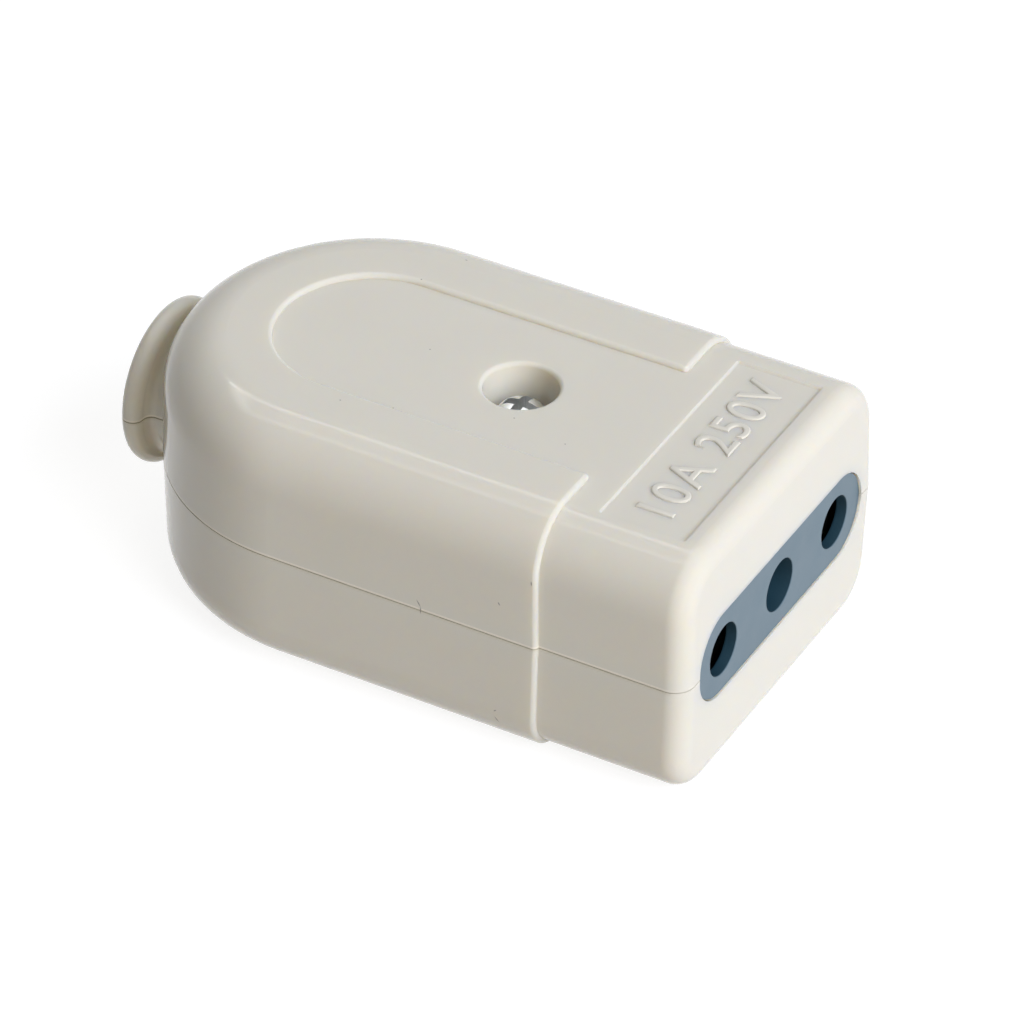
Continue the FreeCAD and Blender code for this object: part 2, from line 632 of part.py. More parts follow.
def contact(pole, across):
    """Rolled brass sleeve with slits, and a joggled strap that leads to the terminal."""
    body = new_body(f"{pole}_contact", across)
    ring = sketch(body, f"{pole}_sleeve_outline", "YZ_Plane", "-contact_front")
    circle(ring, "0", "0", CONTACT_OUTSIDE)
    circle(ring, "0", "0", CONTACT_BORE)
    pad(body, f"{pole}_sleeve", ring, "contact_rear - contact_front", reverse=True)
    low = f"({CONTACT_BORE} / 2 + sheet / 2)"
    strap = outline(sketch(body, f"{pole}_strap_profile", "XZ_Plane"), [
        ("-contact_rear", low),
        ("-contact_front", low),
        ("-(contact_front - joggle)", "strap_rise"),
        (f"-{TERMINAL_FRONT}", "strap_rise"),
        (f"-{TERMINAL_FRONT}", "strap_rise + sheet"),
        ("-(contact_front - joggle)", "strap_rise + sheet"),
        ("-contact_front", f"{low} + sheet"),
        ("-contact_rear", f"{low} + sheet"),
    ])
    pad(body, f"{pole}_strap", strap, "strap_width", symmetric=True)
    slit = sketch(body, f"{pole}_slit_profile", "XZ_Plane")
    far, near = "-(contact_rear + sheet)", "-(contact_rear - slit_length)"
    rectangle(slit, far, "-slit_width / 2", near, "slit_width / 2")
    pocket(body, f"{pole}_slit", slit, f"2 * {CONTACT_OUTSIDE}", symmetric=True)


def terminal(pole, across):
    """Brass box clamp round the strap, with a threaded roof."""
    body = new_body(f"{pole}_terminal", across)
    block = sketch(body, f"{pole}_block_outline", "YZ_Plane", f"-{TERMINAL_FRONT}")
    floor = "strap_rise - terminal_wall"
    rectangle(block, "-terminal_width / 2", floor, "terminal_width / 2", TERMINAL_TOP)
    pad(body, f"{pole}_block", block, "terminal_length", reverse=True)
    window = sketch(body, f"{pole}_window_outline", "YZ_Plane", f"-{TERMINAL_FRONT}")
    side = "(terminal_width / 2 - terminal_wall)"
    rectangle(window, f"-{side}", "strap_rise", side, "strap_rise + terminal_window")
    pocket(body, f"{pole}_window", window, "terminal_length")
    thread = sketch(body, f"{pole}_thread_plan", "XY_Plane", TERMINAL_TOP)
    circle(thread, f"-({TERMINAL_FRONT} + terminal_length / 2)", "0", "terminal_thread + 2 * thread_gap")
    pocket(body, f"{pole}_thread", thread, "terminal_roof + terminal_window / 2")


def u_slot(made, across, radius, top):
    """A channel with a round bottom, open at the top."""
    return outline(made, [
        (f"{across} - {radius}", "0", across, "0", 1),
        (f"{across} + {radius}", "0"),
        (f"{across} + {radius}", top),
        (f"{across} - {radius}", top),
    ])


def contact_carrier():
    """Insulating block: three channels for the contacts, barriers between them, guides for the shutter."""
    body = new_body("contact_carrier")
    block = outline(sketch(body, "carrier_outline", "YZ_Plane", "-carrier_front"), [
        (f"-{CARRIER_HALF}", "-carrier_floor"),
        (CARRIER_HALF, "-carrier_floor"),
        (CARRIER_HALF, "carrier_side"),
        ("pin_pitch", "carrier_side"),
        ("pin_pitch", "barrier_top"),
        ("-pin_pitch", "barrier_top"),
        ("-pin_pitch", "carrier_side"),
        (f"-{CARRIER_HALF}", "carrier_side"),
    ])
    pad(body, "carrier_block", block, "carrier_rear - carrier_front", reverse=True)
    channels = sketch(body, "channel_outlines", "YZ_Plane", f"-{CHANNEL_FRONT}")
    outlets = sketch(body, "outlet_outlines", "YZ_Plane", "-carrier_rear")
    entries = sketch(body, "carrier_entry_outlines", "YZ_Plane", "-carrier_front")
    for across in POLES.values():
        u_slot(channels, across, CHANNEL, "barrier_top + wall")
        u_slot(outlets, across, "entry_diameter / 2", "barrier_top + wall")
        circle(entries, across, "0", "entry_diameter")
    pocket(body, "channels", channels, f"contact_rear + channel_gap - {CHANNEL_FRONT}")
    pocket(body, "outlets", outlets, "carrier_rear - contact_rear", reverse=True)
    pocket(body, "carrier_entries", entries, "2 * carrier_wall")
    grooves = sketch(body, "key_groove_plan", "XY_Plane", "-carrier_floor")
    half = "(key_width / 2 + key_gap)"
    for across in KEYS.values():
        rectangle(grooves, "-(rib_rear + rib + key_gap)", f"{across} - {half}",
                  "-(rib_front - key_gap)", f"{across} + {half}")
    pocket(body, "key_grooves", grooves, "key_height + key_gap", reverse=True)

    inner = "(pin_pitch - tongue_width / 2)"
    outer = "(pin_pitch + tongue_width / 2 + shutter_gap)"
    ledge = f"({SHUTTER_LOW} + shutter_gap / 2)"
    for hand, sign in (("left", "-"), ("right", "")):
        guide = outline(sketch(body, f"guide_{hand}_outline", "YZ_Plane", "-carrier_front"), [
            (f"{sign}{inner}", f"-({ledge} + guide_wall)"),
            (f"{sign}{CARRIER_HALF}", f"-({ledge} + guide_wall)"),
            (f"{sign}{CARRIER_HALF}", "carrier_side"),
            (f"{sign}{outer}", "carrier_side"),
            (f"{sign}{outer}", f"-{ledge}"),
            (f"{sign}{inner}", f"-{ledge}"),
        ])
        pad(body, f"guide_{hand}", guide, f"carrier_front - {SHUTTER_FRONT}")


def case_screw():
    """Domed head with a cross recess, and a plain shank that reaches through the nut."""
    body = new_body("case_screw")
    shank = sketch(body, "shank_plan", "XY_Plane", SCREW_SEAT)
    circle(shank, "-screw_depth", "0", "screw_diameter")
    pad(body, "shank", shank, f"{SCREW_SEAT} + {NUT_TOP} + nut_height", reverse=True)
    head = circle(sketch(body, "head_plan", "XY_Plane", SCREW_SEAT), "-screw_depth", "0", "head_diameter")
    pad(body, "head", head, "head_height")
    top = f"({SCREW_SEAT} + head_height)"
    crown = value(top)
    fillet(body, "head_edge", lambda edge: level(edge, crown), "head_dome")
    arm, reach = "drive_width / 2", "drive_length / 2"
    corners = ((reach, arm), (arm, arm), (arm, reach), (f"-{arm}", reach), (f"-{arm}", arm), (f"-{reach}", arm),
               (f"-{reach}", f"-{arm}"), (f"-{arm}", f"-{arm}"), (f"-{arm}", f"-{reach}"), (arm, f"-{reach}"),
               (arm, f"-{arm}"), (reach, f"-{arm}"))
    cross = sketch(body, "drive_plan", "XY_Plane", top)
    outline(cross, [(f"-screw_depth + {x}", y) for x, y in corners])
    pocket(body, "drive", cross, "drive_depth")


def case_nut():
    body = new_body("case_nut")
    plan = hexagon(sketch(body, "nut_plan", "XY_Plane", f"-{NUT_TOP}"), "-screw_depth", "nut_flats")
    circle(plan, "-screw_depth", "0", "screw_diameter + 2 * thread_gap")
    pad(body, "nut", plan, "nut_height", reverse=True)


def cord_clamp():
    """Bar with an arch over the cord, seated on the two posts."""
    body = new_body("cord_clamp")
    bar = outline(sketch(body, "clamp_outline", "YZ_Plane", f"-({CLAMP_DEPTH} - clamp_width / 2)"), [
        ("-clamp_length / 2", "-post_top"),
        ("-clamp_arch / 2", "-post_top", "0", "-post_top", -1),
        ("clamp_arch / 2", "-post_top"),
        ("clamp_length / 2", "-post_top"),
        ("clamp_length / 2", "clamp_top"),
        ("-clamp_length / 2", "clamp_top"),
    ])
    pad(body, "clamp_bar", bar, "clamp_width", reverse=True)
    holes = sketch(body, "clamp_hole_plan", "XY_Plane", "clamp_top")
    for across in ("-clamp_spacing / 2", "clamp_spacing / 2"):
        circle(holes, f"-{CLAMP_DEPTH}", across, "tapping_diameter + 2 * screw_gap")
    pocket(body, "clamp_holes", holes, "clamp_top + 2 * post_top")


def slotted_screw(name, x, y, seat, thread, length, head, head_height):
    """A small screw: shank, flat head and driver slot."""
    shank = doc.addObject("Part::Cylinder", name + "_shank")
    shank.setExpression("Radius", bound(f"{thread} / 2"))
    shank.setExpression("Height", bound(length))
    place(shank, x, y, f"{seat} - ({length})")
    top = doc.addObject("Part::Cylinder", name + "_head")
    top.setExpression("Radius", bound(f"{head} / 2"))
    top.setExpression("Height", bound(head_height))
    place(top, x, y, seat)
    slot = doc.addObject("Part::Box", name + "_slot")
    slot.setExpression("Length", bound("slot_width"))
    slot.setExpression("Width", bound(f"2 * {head}"))
    slot.setExpression("Height", bound("2 * slot_depth"))
    place(slot, f"{x} - slot_width / 2", f"{y} - {head}", f"{seat} + {head_height} - slot_depth")
    whole = doc.addObject("Part::Fuse", name + "_blank")
    whole.Base, whole.Tool = shank, top
    screw = doc.addObject("Part::Cut", name)
    screw.Base, screw.Tool = whole, slot
    return screw


def screw_group(label, screws):
    """Like screws kept together as one node of separate solids."""
    group = doc.addObject("Part::Compound", label)
    group.Label = label
    group.Links = screws
    PART_NODES.append(settle(group))


def terminal_screws():
    x = f"-({TERMINAL_FRONT} + terminal_length / 2)"
    length = "terminal_roof + terminal_window / 2"
    screw_group("terminal_screws", [
        slotted_screw(f"{pole}_screw", x, across, TERMINAL_TOP, "terminal_thread", length, "terminal_head",
                      "terminal_head_height")
        for pole, across in POLES.items()])


def cord_clamp_screws():
    screw_group("cord_clamp_screws", [
        slotted_screw(f"clamp_screw_{hand}", f"-{CLAMP_DEPTH}", across, "clamp_top", "tapping_diameter",
                      "tapping_length", "tapping_head", "tapping_head_height")
        for hand, across in (("left", "-clamp_spacing / 2"), ("right", "clamp_spacing / 2"))])


def export():
    """Write one file for each sub-part, once nothing in the document has failed."""
    failed = [o.Name for o in doc.Objects if "Invalid" in o.State or "Error" in o.State]
    if failed:
        raise RuntimeError(f"failed: {failed}")
    for node in PART_NODES:
        if node.Shape.isNull() or not node.Shape.isValid():
            raise RuntimeError(f"{node.Label} has no valid shape")
    os.makedirs("parts", exist_ok=True)
    for node in PART_NODES:
        node.Shape.exportStep(f"parts/{node.Label}.step")
        print(node.Label, len(node.Shape.Solids), "solids", round(node.Shape.Volume, 2), "mm3")


upper_shell()
lower_shell()
socket_face()
shutter()
shutter_spring("left_shutter_spring", POLES["line"])
shutter_spring("right_shutter_spring", POLES["neutral"])
contact_carrier()
for pole_name, pole_across in POLES.items():
    contact(pole_name, pole_across)
    terminal(pole_name, pole_across)
terminal_screws()
case_screw()
case_nut()
cord_clamp()
cord_clamp_screws()
doc.recompute()
export()
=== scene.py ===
"""Dresses the in-line power socket: plastic, brass and steel finishes, springs, rating and stage."""
import math

import bpy
from bpy.props import (
    FloatProperty, FloatVectorProperty, IntProperty, PointerProperty, StringProperty)
from mathutils import Matrix, Vector


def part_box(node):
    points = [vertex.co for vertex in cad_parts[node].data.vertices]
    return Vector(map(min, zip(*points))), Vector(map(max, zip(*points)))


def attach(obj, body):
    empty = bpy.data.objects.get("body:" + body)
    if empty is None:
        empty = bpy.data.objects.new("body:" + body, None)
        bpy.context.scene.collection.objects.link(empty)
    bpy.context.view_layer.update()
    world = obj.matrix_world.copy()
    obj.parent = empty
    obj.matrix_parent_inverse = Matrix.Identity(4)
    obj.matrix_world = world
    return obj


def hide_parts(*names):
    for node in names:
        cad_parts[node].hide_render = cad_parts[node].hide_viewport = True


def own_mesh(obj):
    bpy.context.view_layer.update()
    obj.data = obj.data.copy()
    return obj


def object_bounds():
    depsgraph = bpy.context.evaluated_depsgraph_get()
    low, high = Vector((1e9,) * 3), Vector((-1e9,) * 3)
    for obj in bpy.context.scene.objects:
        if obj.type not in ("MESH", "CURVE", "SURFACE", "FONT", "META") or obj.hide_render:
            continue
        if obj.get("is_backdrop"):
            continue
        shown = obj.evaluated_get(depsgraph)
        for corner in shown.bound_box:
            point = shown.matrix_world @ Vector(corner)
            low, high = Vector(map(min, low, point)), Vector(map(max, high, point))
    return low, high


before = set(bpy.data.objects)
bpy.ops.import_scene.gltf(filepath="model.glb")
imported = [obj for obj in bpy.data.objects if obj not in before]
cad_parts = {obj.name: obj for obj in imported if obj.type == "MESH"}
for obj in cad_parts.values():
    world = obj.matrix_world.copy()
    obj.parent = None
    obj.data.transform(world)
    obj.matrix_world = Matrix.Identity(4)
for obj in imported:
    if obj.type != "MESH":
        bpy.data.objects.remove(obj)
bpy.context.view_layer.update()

bl_info = {
    "name": "In-line power socket",
    "version": (1, 0, 0),
    "blender": (4, 5, 0),
    "location": "3D View > Sidebar > Socket",
    "description": "Finishes and small pieces of an in-line power socket",
    "category": "Object",
}

MM = 0.001
SEAM = 11.68 * MM
PIN_PITCH = 9.5 * MM
ENTRY_RADIUS = 2.25 * MM
SPRINGS = ("left_shutter_spring", "right_shutter_spring")
CONTACTS = ("line_contact", "earth_contact", "neutral_contact")
TERMINALS = ("line_terminal", "earth_terminal", "neutral_terminal")
SMALL_SCREWS = ("terminal_screws", "cord_clamp_screws")

# Gloss of the finishes, from 0 for a mirror to 1 for chalk
CASE_GLOSS = 0.11
FIGURE_GLOSS = 0.16
PLATE_GLOSS = 0.42
SHUTTER_GLOSS = 0.55
CARRIER_GLOSS = 0.50
BRASS_GLOSS = 0.30
STEEL_GLOSS = 0.44
SPRING_GLOSS = 0.28

# Depth of the moulded grain
CASE_GRAIN = 0.0005 * MM
PLATE_GRAIN = 0.006 * MM
INNER_GRAIN = 0.003 * MM

# Second tone of a finish, as a share of its colour
PLATE_SHADE = 0.93
SHUTTER_SHADE = 0.70
CARRIER_SHADE = 0.85
BRASS_DULL = 0.82
STEEL_DULL = 0.80
SPRING_BRIGHT = 0.80
SPRING_DULL = 0.62

# Grain of rolled brass and turned steel: how much finer it is along each axis
BRASS_STRETCH = (1.0, 9.0, 9.0)
STEEL_STRETCH = (1.0, 1.0, 6.0)

# Case: painted shadow under the seam and a painted highlight on the edge over it, both ending before
# the front face
SEAM_SHADOW_BELOW = 0.32 * MM
SEAM_SHADOW_ABOVE = 0.04 * MM
SEAM_FADE_START = 26.0 * MM
SEAM_FADE_END = 27.5 * MM
HIGHLIGHT_FOOT = 0.05 * MM
HIGHLIGHT_TOP = 0.20 * MM
HIGHLIGHT_FADE = 0.06 * MM

# Light sinks into the case, but not near the seam, where it would be lost in the gap
CASE_GLOW = 0.7
CRISP_REACH = 0.3 * MM
CRISP_FADE = 0.7 * MM

# Room round the shutter, where the inner walls get a painted shade
PAINTED_SHADE_ROOM = (
    ("X", 22.0 * MM, 27.3 * MM),
    ("Y", -14.7 * MM, 14.7 * MM),
    ("Z", 3.0 * MM, 20.0 * MM),
)
PAINTED_SHADE_FADE = 0.05 * MM

# Front plate: its sheen, and the depths behind its face where the walls of the entries turn to a
# painted shade
PLATE_IOR = 1.9
WALL_SHADE_START = 0.02 * MM
WALL_SHADE_FULL = 0.10 * MM

# Collars behind the outer entries: front and back behind the plate's face, wall, edge and sides
COLLAR_FRONT = 0.70 * MM
COLLAR_BACK = 1.0 * MM
COLLAR_WALL = 0.6 * MM
COLLAR_EDGE = 0.08 * MM
COLLAR_SIDES = 96

# Springs: sides of the wire, steps in a turn, rise of a closed turn in wire widths, weld reach
WIRE_SIDES = 10
TURN_STEPS = 28
CLOSED_RISE = 1.02
WELD_REACH = 0.004 * MM

# Rating: its place in the panel, a figure's share of the text size, and how the figures are set
PANEL_MIDDLE = (21.9 * MM, 0.0, 22.40 * MM)
FIGURE_SHARE = 0.70
FIGURE_SPACING = 1.12
FIGURE_ROUNDING = 4
FIGURE_TRIM = 0.09 * MM

# New pieces: edges flatter than this are shaded smooth, and corners closer than this are merged
SMOOTH_ANGLE = math.radians(32)
MERGE_REACH = 0.002 * MM

# Stage: the camera's target, the floor as it lights the socket and as it is seen, and the camera
AIM = Vector((0.125 * MM, 0.0, SEAM))
FLOOR_SIZE = 6.0
FLOOR_GAP = 0.02 * MM
FLOOR_LIT = (0.62, 0.61, 0.59, 1)
FLOOR_SEEN = (0.30, 0.30, 0.30, 1)
FLOOR_GLOW = 0.86
SENSOR_WIDTH = 36.0
CLIP_START = 0.01
CLIP_END = 20.0

# Lamps: name, place from the target, direction of the length, length, width, colour, seen in mirrors
ACROSS = (0, 1, 0)
ENDWAYS = (1, 0, 0)
SLANTED = (1, 1, 0)
WHITE = (1.0, 1.0, 1.0)
LAMPS = (
    ("key", (1.03, -0.276, 0.746), ACROSS, 1.0, 1.0, (0.845, 0.888, 1.0), False),
    ("side", (0.864, -0.864, 0.445), SLANTED, 1.0, 1.0, (1.0, 0.84, 0.56), False),
    ("back", (-0.563, 0.975, 0.65), ENDWAYS, 1.3, 1.3, (0.993, 1.0, 0.91), False),
    ("far_tube", (-0.25, 0.51, 1.0), ENDWAYS, 1.1, 0.12, WHITE, True),
    ("near_tube", (-0.25, -0.03, 1.0), ENDWAYS, 1.1, 0.12, WHITE, True),
    ("end_tube", (-0.80, 0.265, 1.0), ACROSS, 0.45, 0.12, WHITE, True),
    ("panel", (-0.25, 0.265, 1.0), ENDWAYS, 1.0, 0.4, WHITE, True),
)

# Level of the other two tubes, as a share of the far one
NEAR_SHARE = 0.9
END_SHARE = 0.35

# Dark specks and fine hairs on the case: half width in mm, share of it that is fully dark, darkness
SPECK_REACH = 0.075
SPECK_CORE = 0.35
SPECK_STRENGTH = 0.62

# Each speck or hair from its start to its end in mm
SPECKS = (
    ((-7.26, 12.60, 22.92), (-7.12, 12.60, 22.92)),
    ((-8.95, 8.30, 23.00), (-8.91, 8.30, 23.00)),
    ((-3.82, 0.69, 22.58), (-3.78, 0.69, 22.58)),
    ((-6.22, -9.35, 23.01), (-6.18, -9.35, 23.01)),
    ((-2.38, -7.68, 22.58), (-2.36, -7.68, 22.58)),
    ((6.49, -4.11, 22.58), (6.53, -4.11, 22.58)),
    ((11.61, -5.15, 22.58), (11.64, -5.15, 22.58)),
    ((12.26, -16.86, 15.06), (12.40, -16.86, 14.84)),
    ((15.09, -16.79, 18.10), (15.13, -16.80, 17.70)),
    ((5.05, -16.91, 12.60), (5.40, -16.92, 12.03)),
    ((5.41, -16.92, 12.03), (5.41, -16.93, 11.40)),
    ((11.95, -16.63, 3.53), (12.27, -16.46, 2.99)),
    ((11.96, -16.74, 4.16), (12.12, -16.76, 4.30)),
)


class SocketColours(bpy.types.PropertyGroup):
    """Colours of the socket's finishes."""
    ivory: FloatVectorProperty(
        name="Ivory", description="Plastic of the case",
        subtype="COLOR", size=3, min=0, max=1, default=(0.791, 0.755, 0.662))
    ivory_shade: FloatVectorProperty(
        name="Ivory shade", description="Slightly deeper tone in the case's plastic",
        subtype="COLOR", size=3, min=0, max=1, default=(0.783, 0.747, 0.653))
    speck: FloatVectorProperty(
        name="Speck", description="Dark specks in the case's plastic",
        subtype="COLOR", size=3, min=0, max=1, default=(0.10, 0.09, 0.08))
    # Painted shadow under the seam
    seam: FloatVectorProperty(
        name="Seam", description="Shaded plastic along the seam of the case",
        subtype="COLOR", size=3, min=0, max=1, default=(0.69, 0.645, 0.52))
    # Painted highlight on the edge over the seam
    edge: FloatVectorProperty(
        name="Edge", description="Paler edge above the seam",
        subtype="COLOR", size=3, min=0, max=1, default=(0.925, 0.870, 0.750))
    # Painted shade on the inner walls round the shutter
    inside: FloatVectorProperty(
        name="Inside", description="Shaded plastic round the shutter",
        subtype="COLOR", size=3, min=0, max=1, default=(0.06, 0.055, 0.055))
    blue_grey: FloatVectorProperty(
        name="Blue grey", description="Plastic of the front plate",
        subtype="COLOR", size=3, min=0, max=1, default=(0.060, 0.124, 0.170))
    # Painted shade on the walls deep in the pin entries
    entry_wall_shade: FloatVectorProperty(
        name="Blue wall", description="Smooth walls of the pin entries",
        subtype="COLOR", size=3, min=0, max=1, default=(0.017, 0.052, 0.078))
    black: FloatVectorProperty(
        name="Black", description="Plastic of the shutter",
        subtype="COLOR", size=3, min=0, max=1, default=(0.012, 0.012, 0.014))
    carrier: FloatVectorProperty(
        name="Carrier", description="Plastic of the contact carrier and the cord clamp",
        subtype="COLOR", size=3, min=0, max=1, default=(0.030, 0.030, 0.032))
    brass: FloatVectorProperty(
        name="Brass", description="Contacts and terminals",
        subtype="COLOR", size=3, min=0, max=1, default=(0.78, 0.55, 0.24))
    steel: FloatVectorProperty(
        name="Steel", description="Plated screws and nut",
        subtype="COLOR", size=3, min=0, max=1, default=(0.80, 0.81, 0.81))


class SocketSizes(bpy.types.PropertyGroup):
    """Sizes of the small pieces that are modelled here."""
    rating: StringProperty(
        name="Rating", description="Raised rating in the panel", default="10A 250V")
    rating_height: FloatProperty(
        name="Rating height", description="Height of its figures", unit="LENGTH", default=3.2 * MM)
    rating_rise: FloatProperty(
        name="Rating rise", description="How far the figures stand up from the panel", unit="LENGTH",
        default=0.15 * MM)
    wire: FloatProperty(
        name="Wire", description="Wire of the springs", unit="LENGTH", default=0.36 * MM)
    turns: IntProperty(name="Turns", description="Open turns of a spring", default=4)


class SocketStage(bpy.types.PropertyGroup):
    """Camera and light of the stage."""
    azimuth: FloatProperty(
        name="Azimuth", description="Camera's turn round the socket", subtype="ANGLE",
        default=math.radians(28.539))
    elevation: FloatProperty(
        name="Elevation", description="Camera's height angle", subtype="ANGLE",
        default=math.radians(36.671))
    roll: FloatProperty(
        name="Roll", description="Camera's tilt", subtype="ANGLE", default=math.radians(0.842))
    distance: FloatProperty(
        name="Distance", description="Camera to the middle of the socket", unit="LENGTH",
        default=529.865 * MM)
    focal: FloatProperty(
        name="Focal length", description="In widths of the picture", default=6615.34 / 1024)
    slide: FloatVectorProperty(
        name="Slide", description="Camera's move to the right and up", subtype="TRANSLATION", size=2,
        default=(3.540 * MM, -2.645 * MM))
    key: FloatProperty(
        name="Key", description="Level of the large light before the pin entries", default=1.16)
    side: FloatProperty(
        name="Side", description="Level of the warm light beside the camera", default=0.21)
    back: FloatProperty(
        name="Back", description="Level of the light behind the socket", default=0.20)
    tubes: FloatProperty(
        name="Tubes", description="Level of the far tube overhead", default=0.074)
    panel: FloatProperty(
        name="Panel", description="Level of the panel between the tubes", default=0.05)


def colours():
    return bpy.context.scene.socket_colours


def sizes():
    return bpy.context.scene.socket_sizes


def stage_settings():
    return bpy.context.scene.socket_stage


class Finish:
    """A material in the making: its nodes, its shader and the coordinates that patterns read."""

    def __init__(self, name):
        self.material = bpy.data.materials.new(name)
        self.material.use_nodes = True
        self.tree = self.material.node_tree
        self.tree.nodes.clear()
        output = self.add("ShaderNodeOutputMaterial")
        self.shader = self.add("ShaderNodeBsdfPrincipled")
        self.link(self.shader.outputs["BSDF"], output.inputs["Surface"])
        self.place = self.add("ShaderNodeTexCoord").outputs["Object"]

    def add(self, kind, **settings):
        node = self.tree.nodes.new(kind)
        for key, value in settings.items():
            setattr(node, key, value)
        return node

    def link(self, source, target):
        self.tree.links.new(source, target)

    def set(self, **values):
        """Constant sockets of the shader, with spaces written as underscores."""
        for key, value in values.items():
            self.shader.inputs[key.replace("_", " ")].default_value = value

    def noise(self, size, detail, stretch=None):
        """Noise whose lumps are about `size` metres across."""
        node = self.add("ShaderNodeTexNoise")
        node.inputs["Scale"].default_value = 1.0 / size
        node.inputs["Detail"].default_value = detail
        place = self.place
        if stretch:
            mapping = self.add("ShaderNodeMapping")
            mapping.inputs["Scale"].default_value = stretch
            self.link(place, mapping.inputs["Vector"])
            place = mapping.outputs["Vector"]
        self.link(place, node.inputs["Vector"])
        return node.outputs["Fac"]

    def ramp(self, factor, stops):
        """Colours laid along a factor, each at its place."""
        node = self.add("ShaderNodeValToRGB")
        ramp = node.color_ramp
        while len(ramp.elements) < len(stops):
            ramp.elements.new(0.5)
        for element, (place, colour) in zip(ramp.elements, stops):
            element.position = place
            element.color = (*colour, 1.0)
        self.link(factor, node.inputs["Fac"])
        return node.outputs["Color"]

    def spread(self, factor, low, high, start=0.3, end=0.7):
        """Map start..end of a factor to low..high; the middle of a noise unless told otherwise."""
        node = self.add("ShaderNodeMapRange")
        node.inputs["From Min"].default_value = start
        node.inputs["From Max"].default_value = end
        node.inputs["To Min"].default_value = low
        node.inputs["To Max"].default_value = high
        self.link(factor, node.inputs["Value"])
        return node.outputs["Result"]

    def bump(self, height, distance, below=None):
        """Relief of the given depth, on top of another one if there is one below."""
        node = self.add("ShaderNodeBump")
        node.inputs["Strength"].default_value = 1.0
        node.inputs["Distance"].default_value = distance
        self.link(height, node.inputs["Height"])
        if below:
            self.link(below, node.inputs["Normal"])
        return node.outputs["Normal"]

    def along(self, axis):
        """Object coordinate along one axis."""
        node = self.add("ShaderNodeSeparateXYZ")
        self.link(self.place, node.inputs["Vector"])
        return node.outputs[axis]

    def band(self, axis, low, high, fade):
        """1 between two places along an axis, fading to 0 outside them."""
        place = self.along(axis)
        rise = self.spread(place, 0.0, 1.0, low - fade, low)
        fall = self.spread(place, 1.0, 0.0, high, high + fade)
        return self.least([rise, fall])

    def speck(self, start, end):
        """1 inside a small long blot, fading to 0 at its border."""
        start, end = Vector(start) * MM, Vector(end) * MM
        run = end - start
        reach = SPECK_REACH * MM
        mapping = self.add("ShaderNodeMapping", vector_type="TEXTURE")
        mapping.inputs["Location"].default_value = (start + end) / 2
        mapping.inputs["Rotation"].default_value = run.to_track_quat("X", "Z").to_euler()
        mapping.inputs["Scale"].default_value = (run.length / 2 + reach, reach, reach)
        self.link(self.place, mapping.inputs["Vector"])
        away = self.add("ShaderNodeVectorMath", operation="LENGTH")
        self.link(mapping.outputs["Vector"], away.inputs[0])
        return self.spread(away.outputs["Value"], 1.0, 0.0, SPECK_CORE, 1.0)

    def least(self, factors):
        """The smallest of several factors."""
        return self.joined("MINIMUM", factors)

    def most(self, factors):
        """The largest of several factors."""
        return self.joined("MAXIMUM", factors)

    def joined(self, operation, factors):
        """Several factors taken together, two at a time."""
        total = factors[0]
        for factor in factors[1:]:
            node = self.add("ShaderNodeMath", operation=operation)
            self.link(total, node.inputs[0])
            self.link(factor, node.inputs[1])
            total = node.outputs[0]
        return total

    def stain(self, colour, factor, tone):
        """The colour, turned towards a tone where the factor is high."""
        node = self.add("ShaderNodeMixRGB")
        self.link(factor, node.inputs["Fac"])
        self.link(colour, node.inputs["Color1"])
        node.inputs["Color2"].default_value = (*tone, 1.0)
        return node.outputs["Color"]

    def plain(self):
        """The colour that the shader has so far."""
        return self.shader.inputs["Base Color"].links[0].from_socket

    def colour(self, output):
        self.link(output, self.shader.inputs["Base Color"])

    def roughness(self, output):
        self.link(output, self.shader.inputs["Roughness"])

    def glow(self, output):
        self.link(output, self.shader.inputs["Subsurface Weight"])

    def normal(self, output):
        self.link(output, self.shader.inputs["Normal"])


def tinted(colour, factor):
    """A colour made darker or lighter."""
    return tuple(min(1.0, channel * factor) for channel in colour)


def moulded_plastic(name, colour, shade, gloss, grain, glow=0.0):
    """Moulded plastic: faint clouding, a fine grain, an uneven gloss, and light that sinks in."""
    cloud = 7 * MM
    patch = 2.5 * MM
    wave = 3.0 * MM
    wave_depth = 0.004 * MM
    pore = 0.09 * MM
    uneven = 0.03
    made = Finish(name)
    made.colour(made.ramp(made.noise(cloud, detail=3.0), [(0.30, shade), (0.70, colour)]))
    made.roughness(made.spread(made.noise(patch, detail=4.0), gloss - uneven, gloss + uneven))
    ripple = made.bump(made.noise(wave, detail=1.0), wave_depth)
    made.normal(made.bump(made.noise(pore, detail=2.0), grain, ripple))
    made.set(
        IOR=1.42, Subsurface_Weight=glow, Subsurface_Radius=(1.0, 0.8, 0.5),
        Subsurface_Scale=1.8 * MM)
    return made


def metal(name, colour, dull, gloss, stretch=None):
    """Metal with a drawn grain and slight clouding of its plating."""
    cloud = 0.9 * MM
    patch = 0.35 * MM
    grain = 0.12 * MM
    grain_depth = 0.003 * MM
    smoother = 0.06
    rougher = 0.08
    made = Finish(name)
    made.colour(made.ramp(made.noise(cloud, detail=4.0), [(0.32, dull), (0.62, colour)]))
    streaks = made.noise(patch, detail=3.0, stretch=stretch)
    made.roughness(made.spread(streaks, gloss - smoother, gloss + rougher))
    made.normal(made.bump(made.noise(grain, detail=2.0, stretch=stretch), grain_depth))
    made.set(Metallic=1.0)
    return made


def dress(material, *names):
    """Put a finish on CAD nodes."""
    for name in names:
        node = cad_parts[name]
        node.data.materials.clear()
        node.data.materials.append(material)


def deselect():
    """Leave edit mode and select nothing."""
    if bpy.context.mode != "OBJECT":
        bpy.ops.object.mode_set(mode="OBJECT")
    bpy.ops.object.select_all(action="DESELECT")


def take_up(thing):
    """Select one object alone and make it active."""
    deselect()
    thing.select_set(True)
    bpy.context.view_layer.objects.active = thing


